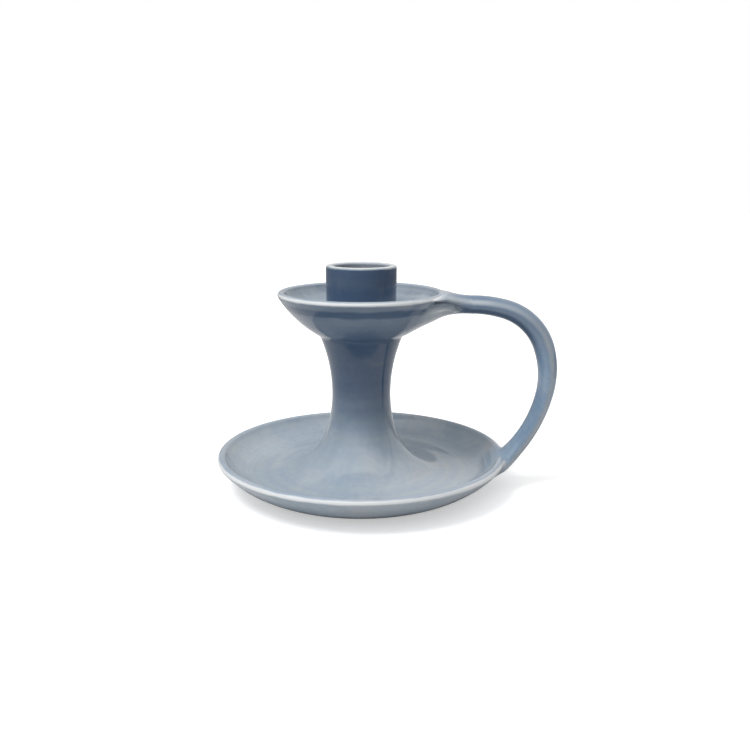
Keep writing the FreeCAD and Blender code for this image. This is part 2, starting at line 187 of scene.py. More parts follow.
RIM_HEIGHT = SAUCER_CREST - SAUCER_RIM_ROUNDING
RIM_ACROSS = SAUCER_RADIUS - SAUCER_RIM_ROUNDING
FLOOR_HEIGHT = RIM_HEIGHT - SAUCER_DEPTH
FLOOR_RADIUS = SAUCER_RADIUS - SAUCER_FLOOR_INSET
BASE_RADIUS = SAUCER_RADIUS - SAUCER_BASE_INSET
WAIST_HEIGHT = THROAT_HEIGHT - STEM_THROAT_RISE
PAN_RIM_HEIGHT = PAN_CREST - PAN_RIM_ROUNDING
PAN_RIM_ACROSS = PAN_RADIUS - PAN_RIM_ROUNDING
PAN_FLOOR_HEIGHT = PAN_RIM_HEIGHT - PAN_DEPTH
PAN_FLOOR_RADIUS = SOCKET_RADIUS + PAN_FLOOR_GAP
BORE_RADIUS = SOCKET_RADIUS - SOCKET_WALL

# Rims where the glaze is thin, each with a pale line that also carries a painted highlight: radius, height,
# width of the pale line, width of the band, the band's share

THIN_RIMS_AND_HIGHLIGHTS = (
    (RIM_ACROSS + 1.6, SAUCER_CREST - 1.2, 1.1, 6.0, 1.0),
    (PAN_RIM_ACROSS + 1.3, PAN_CREST - 0.95, 0.9, 2.6, 0.4),
    (SOCKET_RADIUS - SOCKET_WALL / 2, SOCKET_TOP, 1.3, 1.8, 0.3))


# Turned outlines

def touching_wall(start, rim, rounding, curve):
    """Where an outward bowed wall of a given radius touches the circle of its rim."""
    gap = rim - start
    reach = np.linalg.norm(gap)
    inner = curve - rounding
    ahead = (curve ** 2 - inner ** 2 + reach ** 2) / (2 * reach)
    aside = math.sqrt(curve ** 2 - ahead ** 2)
    centre = start + (gap * ahead + np.array([-gap[1], gap[0]]) * aside) / reach
    return centre + (rim - centre) * curve / inner


def dish_edge(floor, rim, depth, rounding):
    """Radius of the curve that leaves a level floor and touches the rim, and where it touches."""
    run = rim[0] - floor[0]
    curve = (run ** 2 + depth ** 2 - rounding ** 2) / (2 * (depth + rounding))
    share = rounding / (curve + rounding)
    touch = rim + np.array([-run, curve - depth]) * share
    return curve, touch


def runs_of(corners, step):
    """Points and outward normals along each edge of an outline of (across, up, bend) corners.

    The bend belongs to the edge that leaves the corner: None, or a radius and the side of its centre.
    """
    runs = []
    for number, (across, up, bend) in enumerate(corners):
        following = corners[(number + 1) % len(corners)]
        start = np.array([across, up], dtype=float)
        end = np.array(following[:2], dtype=float)
        chord = end - start
        length = np.linalg.norm(chord)
        right = np.array([chord[1], -chord[0]]) / length
        if bend is None:
            count = max(1, math.ceil(length / (4 * step)))
            shares = np.linspace(0, 1, count + 1)[:, None]
            runs.append((start + chord * shares, np.repeat(right[None, :], count + 1, axis=0)))
            continue
        radius, side = bend
        sign = -1.0 if side == "left" else 1.0
        centre = (start + end) / 2 + right * sign * math.sqrt(max(radius ** 2 - (length / 2) ** 2, 0))
        swing = 2 * math.asin(min(1.0, length / (2 * radius)))
        count = max(4, math.ceil(swing * radius / step), math.ceil(math.degrees(swing) / 8))
        first = math.atan2(*(start - centre)[::-1])
        angles = first - sign * swing * np.linspace(0, 1, count + 1)
        spokes = np.stack([np.cos(angles), np.sin(angles)], axis=1)
        runs.append((centre + spokes * radius, spokes * -sign))
    return runs


def turned_outlines():
    """The outline of each turned piece, in millimetres, the same as the solids have."""
    sweep_centre = FLOOR_RADIUS - STEM_FLOOR_GAP
    spread = sweep_centre - STEM_WAIST_RADIUS
    rise = WAIST_HEIGHT - FLOOR_HEIGHT
    sine, cosine = math.sin(STEM_SWEEP_ANGLE), math.cos(STEM_SWEEP_ANGLE)
    share = sine * cosine - (1 - cosine) * (1 - sine)
    lower = (rise * cosine - spread * (1 - sine)) / share
    sweep = (spread * sine - rise * (1 - cosine)) / share
    upper = STEM_UPPER_CURVE
    seam_drop = FLOOR_HEIGHT + sweep - SEAM_HEIGHT
    throat = STEM_WAIST_RADIUS + upper - math.sqrt(upper ** 2 - STEM_THROAT_RISE ** 2)
    seam_hollow = sweep_centre - math.sqrt((sweep + STEM_WALL) ** 2 - seam_drop ** 2)
    inner_lower = lower + STEM_WALL

    rim = np.array([RIM_ACROSS, RIM_HEIGHT])
    wall_top = touching_wall(
        np.array([BASE_RADIUS, FOOT_TOP]), rim, SAUCER_RIM_ROUNDING, SAUCER_WALL_CURVE)
    dish, dish_top = dish_edge(
        np.array([FLOOR_RADIUS, FLOOR_HEIGHT]), rim, SAUCER_DEPTH, SAUCER_RIM_ROUNDING)

    slope = STEM_THROAT_RISE / upper
    bowl = np.array([
        throat + THROAT_ROUNDING * (math.sqrt(1 - slope ** 2) - math.cos(THROAT_ANGLE)),
        THROAT_HEIGHT + THROAT_ROUNDING * (math.sin(THROAT_ANGLE) - slope)])
    pan_rim = np.array([PAN_RIM_ACROSS, PAN_RIM_HEIGHT])
    bowl_top = touching_wall(bowl, pan_rim, PAN_RIM_ROUNDING, PAN_WALL_CURVE)
    pan, pan_top = dish_edge(
        np.array([PAN_FLOOR_RADIUS, PAN_FLOOR_HEIGHT]), pan_rim, PAN_DEPTH, PAN_RIM_ROUNDING)
    underside = [
        (throat, THROAT_HEIGHT, (THROAT_ROUNDING, "right")),
        (*bowl, (PAN_WALL_CURVE, "left")),
        (*bowl_top, (PAN_RIM_ROUNDING, "left")),
        (PAN_RIM_ACROSS, PAN_CREST, (PAN_RIM_ROUNDING, "left")),
    ]
    lip = SOCKET_LIP_ROUNDING
    return {
        "saucer": [
            (seam_hollow, FOOT_TOP, None),
            (BASE_RADIUS, FOOT_TOP, (SAUCER_WALL_CURVE, "left")),
            (*wall_top, (SAUCER_RIM_ROUNDING, "left")),
            (RIM_ACROSS, SAUCER_CREST, (SAUCER_RIM_ROUNDING, "left")),
            (*dish_top, (dish, "right")),
            (FLOOR_RADIUS, FLOOR_HEIGHT, None),
            (sweep_centre, FLOOR_HEIGHT, (sweep, "right")),
            (SEAM_RADIUS, SEAM_HEIGHT, None),
            (seam_hollow, SEAM_HEIGHT, None),
        ],
        "stem": [
            (SEAM_RADIUS, SEAM_HEIGHT, (sweep, "right")),
            (STEM_WAIST_RADIUS + lower * (1 - cosine), WAIST_HEIGHT - lower * sine, (lower, "right")),
            (STEM_WAIST_RADIUS, WAIST_HEIGHT, (upper, "right")),
            (throat, THROAT_HEIGHT, None),
            (HOLLOW_TOP, THROAT_HEIGHT, (upper + STEM_WALL, "left")),
            (STEM_WAIST_RADIUS - STEM_WALL, WAIST_HEIGHT, (inner_lower, "left")),
            (STEM_WAIST_RADIUS + lower - inner_lower * cosine, WAIST_HEIGHT - inner_lower * sine,
             (sweep + STEM_WALL, "left")),
            (seam_hollow, SEAM_HEIGHT, None),
        ],
        "drip_pan": underside + [
            (*pan_top, (pan, "right")),
            (PAN_FLOOR_RADIUS, PAN_FLOOR_HEIGHT, None),
            (SOCKET_RADIUS, PAN_FLOOR_HEIGHT, None),
            (SOCKET_RADIUS, SEAT_HEIGHT, None),
            (HOLLOW_TOP, SEAT_HEIGHT, None),
            (HOLLOW_TOP, THROAT_HEIGHT, None),
        ],
        "candle_socket": [
            (BORE_RADIUS, SEAT_HEIGHT, None),
            (SOCKET_RADIUS, SEAT_HEIGHT, None),
            (SOCKET_RADIUS, SOCKET_TOP - lip, (lip, "left")),
            (SOCKET_RADIUS - lip, SOCKET_TOP, None),
            (BORE_RADIUS + lip, SOCKET_TOP, (lip, "left")),
            (BORE_RADIUS, SOCKET_TOP - lip, None),
        ],
        "pan_space": underside[:3] + [
            (PAN_RIM_ACROSS, PAN_CREST, None),
            (PAN_RIM_ACROSS, SOCKET_TOP, None),
            (0.0, SOCKET_TOP, None),
            (0.0, THROAT_HEIGHT, None),
        ],
    }


# Meshes

def dress(piece, material):
    piece.data.materials.clear()
    piece.data.materials.append(material)


def new_piece(replaced, material, verts, faces, corner_normals, marks=()):
    """A smooth piece in place of a CAD node, from millimetre points and a normal for each face corner.

    The marks are how far the strap covers each point and how near its edge that is.
    """
    mesh = bpy.data.meshes.new(f"{replaced}_glazed")
    mesh.from_pydata((np.asarray(verts) * MM).tolist(), [], faces)
    mesh.shade_smooth()
    mesh.normals_split_custom_set(np.asarray(corner_normals).tolist())
    for label, values in zip(("strap_cover", "strap_edge_and_sheen"), marks):
        layer = mesh.attributes.new(label, "FLOAT", "POINT")
        layer.data.foreach_set("value", np.asarray(values, dtype=np.float32))
    mesh.update()
    piece = bpy.data.objects.new(f"{replaced}_glazed", mesh)
    bpy.context.scene.collection.objects.link(piece)
    dress(piece, material)
    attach(piece, "root")
    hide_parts(replaced)


def ring_faces(low, high, around):
    """The faces between two rings, each given by the number of its first point."""
    return [
        (low + turn, low + after, high + after, high + turn)
        for turn, after in zip(range(around), [*range(1, around), 0])]


def turned_mesh(runs, around):
    """Points, faces and corner normals of an outline's runs turned about the Z axis."""
    outline = np.concatenate([points[:-1] for points, _ in runs])
    turns = np.linspace(0, 2 * math.pi, around, endpoint=False)
    cosines, sines = np.cos(turns), np.sin(turns)
    verts = np.stack([
        outline[:, :1] * cosines,
        outline[:, :1] * sines,
        np.repeat(outline[:, 1:], around, axis=1)], axis=2).reshape(-1, 3)
    faces = []
    normals = []
    ring = 0
    total = len(outline)
    for points, spokes in runs:
        for number in range(len(points) - 1):
            faces.extend(ring_faces(ring * around, (ring + 1) % total * around, around))
            for turn in range(around):
                after = (turn + 1) % around
                for spoke, at in ((number, turn), (number, after), (number + 1, after), (number + 1, turn)):
                    out, up = spokes[spoke]
                    normals.append((out * cosines[at], out * sines[at], up))
            ring += 1
    return verts, faces, normals


def smooth_table(at, places, values):
    """A smooth curve through a table of values at rising places."""
    places = np.asarray(places, dtype=float)
    values = np.asarray(values, dtype=float)
    slopes = np.gradient(values, places)
    at = np.clip(at, places[0], places[-1])
    cell = np.clip(np.searchsorted(places, at, side="right") - 1, 0, len(places) - 2)
    gap = places[cell + 1] - places[cell]
    share = (at - places[cell]) / gap
    square, cube = share ** 2, share ** 3
    return (
        (2 * cube - 3 * square + 1) * values[cell]
        + (cube - 2 * square + share) * gap * slopes[cell]
        + (3 * square - 2 * cube) * values[cell + 1]
        + (cube - square) * gap * slopes[cell + 1])


# Handle: its centre line, sections and distances

def bend_step(heading, curve, angle):
    """How far a clockwise bend goes across and up."""
    first, last = math.radians(heading), math.radians(heading - angle)
    return curve * np.array([math.sin(first) - math.sin(last), math.cos(last) - math.cos(first)])


class Strap:
    """The centre line of the handle as points, headings and half sizes at places along it."""

    def __init__(self, step):
        start = np.array([PAN_RADIUS + HANDLE_START_GAP, PAN_RIM_HEIGHT - HANDLE_START_DROP])
        end = np.array([SAUCER_RADIUS - HANDLE_END_INSET, RIM_HEIGHT - HANDLE_END_DROP])
        heading = HANDLE_START_ANGLE
        low_heading = heading - CROWN_ANGLE - SHOULDER_ANGLE
        upper = bend_step(heading, 1.0, CROWN_ANGLE) + bend_step(
            heading - CROWN_ANGLE, SHOULDER_SHARE, SHOULDER_ANGLE)
        lower = bend_step(low_heading, 1.0, GRIP_ANGLE) + bend_step(
            low_heading - GRIP_ANGLE, TAIL_SHARE, TAIL_ANGLE + TAIL_ROOT_ANGLE)
        upper_bend, lower_bend = np.linalg.solve(np.stack([upper, lower], axis=1), end - start)
        tail = lower_bend * TAIL_SHARE
        bends = [
            (upper_bend, CROWN_ANGLE), (upper_bend * SHOULDER_SHARE, SHOULDER_ANGLE),
            (lower_bend, GRIP_ANGLE), (tail, TAIL_ANGLE), (tail, TAIL_ROOT_ANGLE)]
        lengths = [curve * math.radians(angle) for curve, angle in bends]

        web_place = -(PAN_RADIUS + HANDLE_START_GAP - PAN_FLOOR_RADIUS) * WEB_WAY_SHARES[1]
        places = [web_place, 0.0]
        for length, count in zip(lengths, SECTION_COUNTS):
            places.extend(places[-1] + length * np.arange(1, count + 1) / count)
        self.seam = places[-1]
        places.extend([self.seam + lengths[-1] / 2, self.seam + lengths[-1]])
        tail_end = np.array([SAUCER_RADIUS - TAIL_INSET, RIM_HEIGHT - TAIL_DROP])
        places.append(places[-1] + np.linalg.norm(tail_end - end))
        self.places = np.array(places)
        self.thick = HANDLE_HALF_THICKNESS * np.array(
            [WEB_THICKNESS_SHARES[1]] + THICKNESS_SHARES + TAIL_THICKNESS_SHARES)
        self.wide = np.concatenate([
            HANDLE_HALF_WIDTH * np.array([WEB_START_WIDTH_SHARE] + WIDTH_SHARES),
            TAIL_HALF_WIDTH * np.array(TAIL_WIDTH_SHARES)])

        # Points along the arcs, then on to the end inside the saucer's wall
        samples = [(0.0, *start, heading)]
        for (curve, angle), length in zip(bends, lengths):
            at, across, up, begun = samples[-1]
            for share in np.linspace(0, 1, max(2, math.ceil(length / step)))[1:]:
                ahead = bend_step(begun, curve, angle * share)
                samples.append(
                    (at + length * share, across + ahead[0], up + ahead[1], begun - angle * share))
        at, across, up, begun = samples[-1]
        run = tail_end - np.array([across, up])
        length = np.linalg.norm(run)
        for share in np.linspace(0, 1, math.ceil(length / step))[1:]:
            samples.append((
                at + length * share, across + run[0] * share, up + run[1] * share,
                begun - TAIL_END_ANGLE * share))
        self.samples = np.array(samples)

    def section(self, at):
        """Half thickness and half width at places along the strap."""
        return smooth_table(at, self.places, self.thick), smooth_table(at, self.places, self.wide)

    def distance(self, points, with_turn=False):
        """Signed distance from points to the strap, how far along it they are and the turn round it."""
        across, side, up = points.T
        nearest = np.zeros(len(points), dtype=int)
        best = np.full(len(points), np.inf)
        for number, (_, mid_across, mid_up, _) in enumerate(self.samples):
            gap = (across - mid_across) ** 2 + (up - mid_up) ** 2
            closer = gap < best
            best[closer] = gap[closer]
            nearest[closer] = number
        place, mid_across, mid_up, heading = self.samples[nearest].T
        turn = np.radians(heading)
        ahead = (across - mid_across) * np.cos(turn) + (up - mid_up) * np.sin(turn)
        rise = (up - mid_up) * np.cos(turn) - (across - mid_across) * np.sin(turn)
        along = place + ahead
        thick, wide = self.section(along)
        oval = oval_distance(side, rise, wide, thick)
        past = along - self.places[-1]
        outside = np.hypot(np.maximum(oval, 0), np.maximum(past, 0))
        capped = outside + np.minimum(np.maximum(oval, past), 0)
        if with_turn:
            return capped, along, np.arctan2(rise / thick, side / wide)
        return capped, along


def oval_distance(side, rise, half_width, half_thick):
    """Signed distance to an ellipse, by a few steps along its evolute."""
    side, rise = np.abs(side), np.abs(rise)
    spread = half_width ** 2 - half_thick ** 2
    cosine = sine = np.full(side.shape, math.sqrt(0.5))
    for _ in range(4):
        evolute_side = spread * cosine ** 3 / half_width
        evolute_rise = -spread * sine ** 3 / half_thick
        to_side, to_rise = side - evolute_side, rise - evolute_rise
        bend = np.hypot(half_width * cosine - evolute_side, half_thick * sine - evolute_rise)
        scale = bend / np.maximum(np.hypot(to_side, to_rise), 1e-9)
        cosine = np.clip((to_side * scale + evolute_side) / half_width, 0, 1)
        sine = np.clip((to_rise * scale + evolute_rise) / half_thick, 0, 1)
        length = np.maximum(np.hypot(cosine, sine), 1e-9)
        cosine, sine = cosine / length, sine / length
    away = np.hypot(half_width * cosine - side, half_thick * sine - rise)
    return np.where(np.hypot(side / half_width, rise / half_thick) < 1, -away, away)


def outline_distance(runs, across, up):
    """Signed distance to a closed outline, negative inside."""
    outline = np.concatenate([points[:-1] for points, _ in runs])
    best = np.full(across.shape, np.inf)
    inside = np.zeros(across.shape, dtype=bool)
    for (first_across, first_up), (last_across, last_up) in zip(outline, np.roll(outline, -1, axis=0)):
        run, rise = last_across - first_across, last_up - first_up
        length = run * run + rise * rise
        aside, above = across - first_across, up - first_up
        share = np.clip((aside * run + above * rise) / length, 0, 1)
        best = np.minimum(best, (aside - run * share) ** 2 + (above - rise * share) ** 2)
        if rise:
            crossing = (first_up > up) != (last_up > up)
            inside ^= crossing & (across < first_across + above * run / rise)
    return np.where(inside, -1, 1) * np.sqrt(best)


def smooth_union(one, other, reach):
    """The nearer of two distances, with the corner between them filled over a reach."""
    reach = np.maximum(reach, 1e-6)
    near = np.maximum(reach - np.abs(one - other), 0) / reach
    return np.minimum(one, other) - near ** 3 * reach / 6


def ramp(value, low, high):
    """A smooth step from nothing to one between two values."""
    share = np.clip((value - low) / (high - low), 0, 1)
    return share * share * (3 - 2 * share)


class Join:
    """Clay between the handle and a turned piece: a shell with a smooth outer side."""

    def __init__(self, outline, sizes, reach):
        self.runs = runs_of(outline, FINE_OUTLINE_STEP)
        self.reach = reach / MM
        self.skin = sizes.skin / MM
        self.sink = sizes.sink / MM

    def turned(self, points):
        """Distance to the turned piece."""
        return outline_distance(self.runs, np.hypot(points[:, 0], points[:, 1]), points[:, 2])

    def shell(self, grown, turned, past):
        """A grown surface, sunk a hair away from the strap, as a shell that ends a little past the seam."""
        sunk = self.sink * (1 - ramp(past, *self.strap_side)) + 2 * self.sink * ramp(past, 0.0, SEAM_FADE)
        return np.maximum.reduce([grown + sunk, -turned - self.skin, past - SEAM_OVERLAP])


class UpperJoin(Join):
    """Strap and drip pan grown together: a flare level with the rim over a web down the bowl."""

    low = np.array([12.0, -31.0, 56.0])
    high = np.array([47.4, 31.0, 84.8])

    # Where each effect starts and ends, in millimetres or in shares of the way back to the bowl
    strap_side = (-6.0, -2.0)
    pan_overlap = 0.4
    under_depths = (0.3, 2.0)
    under_shares = (0.0, 0.3)
    knit_shares = (0.15, 0.45)
    shoulder_shares = (0.32, 0.6)
    full_heights = (66.0, 73.0)
    least_share = 0.3
    bowl_depths = (2.2, 5.5)
    rim_widths = (-0.8, 2.5)
    cover_widths = (-1.5, 3.0)
    # Where the painted light on the web's flank starts and ends
    flank_gaps = (-3.5, -0.5)
    flank_depths = (2.5, 6.0)
    flank_lengths = (2.0, 9.0)

    def __init__(self, outlines, sizes):
        super().__init__(outlines["drip_pan"], sizes, sizes.upper_blend)
        self.space = runs_of(outlines["pan_space"], FINE_OUTLINE_STEP)
        self.rim_reach = sizes.rim_blend / MM
        self.start = PAN_RADIUS + HANDLE_START_GAP
        self.height = PAN_RIM_HEIGHT - HANDLE_START_DROP
        self.way = self.start - outlines["drip_pan"][1][0]

    def parts(self, points):
        """Distances to the web and the flare, the part of them underneath, and how strongly they knit."""
        across, side, up = points.T
        share = (self.start - across) / self.way
        web_ways = [WEB_START_SHARE] + WEB_WAY_SHARES
        drop = smooth_table(share, web_ways, [WEB_DROP_SHARES[1]] + WEB_DROP_SHARES)
        web_thick = smooth_table(share, web_ways, [THICKNESS_SHARES[1]] + WEB_THICKNESS_SHARES)
        web_wide = smooth_table(share, web_ways, [1.0] + WEB_WIDTH_SHARES)
        web = oval_distance(
            side, up - self.height + WEB_DEPTH * drop,
            HANDLE_HALF_WIDTH * web_wide, HANDLE_HALF_THICKNESS * web_thick)
        rise = HANDLE_START_DROP * smooth_table(share, FLARE_WAY_SHARES, FLARE_RISE_SHARES)
        thin = smooth_table(share, FLARE_WAY_SHARES, FLARE_THICKNESS_SHARES)
        broad = FLARE_HALF_WIDTH * smooth_table(share, FLARE_WAY_SHARES, FLARE_WIDTH_SHARES)
        thick = PAN_RIM_ROUNDING + (HANDLE_HALF_THICKNESS * THICKNESS_SHARES[0] - PAN_RIM_ROUNDING) * thin
        above = up - self.height - rise
        flare = oval_distance(side, above, broad, thick)
        shoulder = oval_distance(
            side, above + SHOULDER_DROP, broad * SHOULDER_WIDTH_SHARE, SHOULDER_HALF_THICKNESS)
        shoulder = shoulder + SHOULDER_END_STEEPNESS * np.maximum(SHOULDER_END_SHARE - share, 0)
        web = smooth_union(web, shoulder, self.reach * ramp(share, *self.shoulder_shares))
        under = ramp(-above, *self.under_depths) * ramp(share, *self.under_shares)
        return web, flare, under, under * ramp(share, *self.knit_shares)

    def outside(self, points):
        """One under and outside the bowl, and nothing on its inside, where no clay is added."""
        beyond = np.hypot(points[:, 0], points[:, 1]) - PAN_RADIUS
        return np.maximum(
            ramp(PAN_CREST - points[:, 2], *self.bowl_depths), ramp(beyond, *self.rim_widths))

    def solid(self, points):
        """Distance to the join."""
        web, flare, under, knit = self.parts(points)
        field = np.minimum(web, flare) - self.reach - FIELD_MARGIN
        close = field < FIELD_LIMIT
        points, web, flare, under, knit = (each[close] for each in (points, web, flare, under, knit))
        turned = self.turned(points)
        hollow = outline_distance(self.space, np.hypot(points[:, 0], points[:, 1]), points[:, 2])
        cut = -hollow - self.pan_overlap
        handle = smooth_union(np.maximum(web, cut), np.maximum(flare, cut), self.reach * knit)
        full = self.least_share + (1 - self.least_share) * ramp(points[:, 2], *self.full_heights)
        reach = self.rim_reach + (self.reach - self.rim_reach) * under * full
        grown = smooth_union(turned, handle, self.outside(points) * reach)
        field[close] = np.maximum(field[close], self.shell(grown, turned, points[:, 0] - self.start))
        return field

    def marks(self, points):
        """How far the strap covers the rim's line, and how near a place is to the strap's edge, with painted
        light on the web's flank.
        """
        covered = ramp(points[:, 0] - PAN_RADIUS, *self.cover_widths)
        level = points[:, 2] - self.height
        turn = np.arctan2(level / HANDLE_HALF_THICKNESS, points[:, 1] / HANDLE_HALF_WIDTH)
        # Painted light on the web's flank, which faces down
        lit_flank = ramp(-self.parts(points)[0], *self.flank_gaps)
        lit_flank = lit_flank * ramp(PAN_CREST - points[:, 2], *self.flank_depths)
        lit_flank = lit_flank * ramp(self.start - points[:, 0], *self.flank_lengths)
        return covered, np.maximum(strap_edge_and_sheen(turn) * covered, FLANK_LIGHT_SHARE * lit_flank)


class LowerJoin(Join):
    """Strap and saucer rim grown together."""

    low = np.array([40.0, -24.0, 0.0])
    high = np.array([70.6, 24.0, 22.6])

    # Where each effect starts and ends, in millimetres
    strap_side = (-3.0, -0.5)
    strap_length = 12.0
    full_depths = (-0.6, 2.2)
    least_share = 0.35
    cover_gaps = (-4.5, -0.3)

    def __init__(self, outlines, sizes):
        super().__init__(outlines["saucer"], sizes, sizes.lower_blend)
        self.strap = Strap(FINE_STRAP_STEP)
        samples = self.strap.samples
        self.strap.samples = samples[samples[:, 0] > self.strap.seam - self.strap_length]

    def solid(self, points):
        """Distance to the join."""
        oval, along = self.strap.distance(points)
        field = oval - self.reach - FIELD_MARGIN
        close = field < FIELD_LIMIT
        points, oval, along = points[close], oval[close], along[close]
        turned = self.turned(points)
        below = ramp(SAUCER_CREST - points[:, 2], *self.full_depths)
        grown = smooth_union(turned, oval, self.reach * (self.least_share + (1 - self.least_share) * below))
        field[close] = np.maximum(field[close], self.shell(grown, turned, self.strap.seam - along))
        return field

    def marks(self, points):
        """How far the strap covers the rim's line, and how near a place is to the strap's edge."""
        oval, _, turn = self.strap.distance(points, with_turn=True)
        covered = ramp(-oval, *self.cover_gaps)
        return covered, strap_edge_and_sheen(turn) * covered


def strap_edge_and_sheen(turn):
    """One along the strap's two outer edges, where the glaze is thin and a highlight is painted, and nothing
    between them.
    """
    aside = np.abs(np.abs(turn - math.pi / 2 + 2 * math.pi * (turn < -math.pi / 2)) - EDGE_TURN)
    return ramp(-aside, -EDGE_SPREAD, 0.0)


def slope_of(field, points, step=0.02):
    """Unit gradient of a field at points."""
    slopes = np.stack([
        field(points + step * axis) - field(points - step * axis) for axis in np.eye(3)], axis=1)
    return slopes / np.maximum(np.linalg.norm(slopes, axis=1, keepdims=True), 1e-9)


def grown_mesh(join, pitch):
    """Points, faces and corner normals of a join's closed solid, by the dual of a grid of its field."""
    counts = np.ceil((join.high - join.low) / pitch).astype(int) + 1
    axes = [join.low[axis] + pitch * np.arange(counts[axis]) for axis in range(3)]
    grid = np.stack(np.meshgrid(*axes, indexing="ij"), axis=-1)
    field = join.solid(grid.reshape(-1, 3)).reshape(counts)
    for axis in range(3):
        for end in (0, -1):
            face = [slice(None)] * 3
            face[axis] = end
            field[tuple(face)] = np.maximum(field[tuple(face)], pitch / 4)
    inside = field < 0

    cells = tuple(counts - 1)
    total = np.zeros(cells + (3,))
    crossings = np.zeros(cells)
    quads = []
    for axis in range(3):
        low = [slice(None)] * 3
        high = [slice(None)] * 3
        low[axis], high[axis] = slice(0, -1), slice(1, None)
        low, high = tuple(low), tuple(high)
        crossing = inside[low] != inside[high]
        index = np.argwhere(crossing)
        first, last = field[low][crossing], field[high][crossing]
        places = index.astype(float)
        places[:, axis] += first / (first - last)
        one, two = [other for other in range(3) if other != axis]
        corners = []
        for shift_one, shift_two in ((0, 0), (-1, 0), (-1, -1), (0, -1)):
            cell = index.copy()
            cell[:, one] += shift_one
            cell[:, two] += shift_two
            corners.append(cell)
            np.add.at(total, tuple(cell.T), places)
            np.add.at(crossings, tuple(cell.T), 1)
        flip = inside[low][crossing] ^ (axis == 1)
        quads.append((np.stack(corners, axis=1), flip))

    used = crossings > 0
    numbers = np.full(cells, -1)
    numbers[used] = np.arange(used.sum())
    points = join.low + pitch * total[used] / crossings[used][:, None]
    for _ in range(SETTLING_STEPS):
        step = np.clip(join.solid(points), -pitch / 2, pitch / 2)
        points = points - slope_of(join.solid, points) * step[:, None]

    faces = []
    for corners, flip in quads:
        ring = numbers[tuple(np.moveaxis(corners, -1, 0))]
        ring[~flip] = ring[~flip][:, ::-1]
        faces.append(ring)
    faces = np.concatenate(faces)

    grown = slope_of(join.solid, points)
    turned = slope_of(join.turned, points)
    height = join.turned(points)
    share = ramp(height, 0.0, EDGE_SHADING)[:, None]
    near = (np.abs(height) < EDGE_SHADING)[:, None]
    mixed = np.where(near, grown * share + turned * (1 - share), grown)
    mixed = mixed / np.maximum(np.linalg.norm(mixed, axis=1, keepdims=True), 1e-9)
    return points, faces.tolist(), mixed[faces.reshape(-1)], join.marks(points)


def loop_mesh(strap, around):
    """Points, faces and corner normals of the strap between its two joins."""
    places = strap.samples[:, 0]
    samples = strap.samples[places <= strap.seam + 1e-6]
    thick, wide = strap.section(samples[:, 0])
    turns = np.linspace(0, 2 * math.pi, around, endpoint=False)
    heading = np.radians(samples[:, 3])[:, None]
    rise = np.sin(turns) * thick[:, None]
    side = np.cos(turns) * wide[:, None]
    rings = np.stack([
        samples[:, 1:2] - np.sin(heading) * rise, side, samples[:, 2:3] + np.cos(heading) * rise], axis=2)
    along = np.gradient(rings, samples[:, 0], axis=0)
    round_way = np.roll(rings, -1, axis=1) - np.roll(rings, 1, axis=1)
    normals = np.cross(round_way, along)
    normals = normals / np.linalg.norm(normals, axis=2, keepdims=True)
    verts = rings.reshape(-1, 3)
    shades = normals.reshape(-1, 3)
    faces = []
    for ring in range(len(samples) - 1):
        faces.extend(ring_faces(ring * around, (ring + 1) * around, around))
    corner_normals = [shades[number] for face in faces for number in face]
    first_cap = tuple(range(around - 1, -1, -1))
    last_cap = tuple((len(samples) - 1) * around + turn for turn in range(around))
    for cap, sample, sign in ((first_cap, samples[0], -1.0), (last_cap, samples[-1], 1.0)):
        turn = math.radians(sample[3])
        faces.append(cap)
        corner_normals.extend([(sign * math.cos(turn), 0.0, sign * math.sin(turn))] * around)
    edge = np.tile(strap_edge_and_sheen(turns), len(samples))
    return verts, faces, corner_normals, (np.ones(len(verts)), edge)


# Shader groups

def node(tree, kind, inputs=None, **settings):
    """A new node with its settings, and its inputs set or linked."""
    made = tree.nodes.new(kind)
    for name, value in settings.items():
        setattr(made, name, value)
    for name, value in (inputs or {}).items():
        if isinstance(value, bpy.types.NodeSocket):
            tree.links.new(value, made.inputs[name])
        else:
            made.inputs[name].default_value = value
    return made


def math_node(tree, operation, *values, clamp=False):
    """The outcome of an operation on numbers and sockets."""
    made = node(tree, "ShaderNodeMath", dict(enumerate(values)), operation=operation, use_clamp=clamp)
    return made.outputs[0]


def product(tree, first, *others):
    """The product of numbers and sockets."""
    for other in others:
        first = math_node(tree, "MULTIPLY", first, other)
    return first


def hypotenuse(tree, one, other):
    """How long the slant is between two lengths at a right angle."""
    squares = [math_node(tree, "POWER", side, 2.0) for side in (one, other)]
    return math_node(tree, "SQRT", math_node(tree, "ADD", *squares))


def parts_of(tree, vector):
    """A vector's three parts."""
    return node(tree, "ShaderNodeSeparateXYZ", {0: vector}).outputs


def object_place(tree):
    return node(tree, "ShaderNodeTexCoord").outputs["Object"]


def from_axis(tree):
    """How far a place is from the Z axis, and its height."""
    parts = parts_of(tree, object_place(tree))
    return hypotenuse(tree, parts[0], parts[1]), parts[2]


def facing_up(tree):
    """The upward part of the surface's normal."""
    return parts_of(tree, node(tree, "ShaderNodeNewGeometry").outputs["Normal"])[2]


def faded(tree, value, low, high, start=0.0, end=1.0):
    """A smooth step of a value between two places."""
    made = node(tree, "ShaderNodeMapRange", {
        "Value": value, "From Min": low, "From Max": high, "To Min": start, "To Max": end},
        interpolation_type="SMOOTHSTEP")
    return made.outputs["Result"]


def blended(tree, share, first, second, blend="MIX"):
    """One colour laid over another."""
    made = node(tree, "ShaderNodeMix", {0: share, 6: first, 7: second}, data_type="RGBA", blend_type=blend)
    return made.outputs[2]


def rgba(colour):
    return (colour[0], colour[1], colour[2], 1.0)


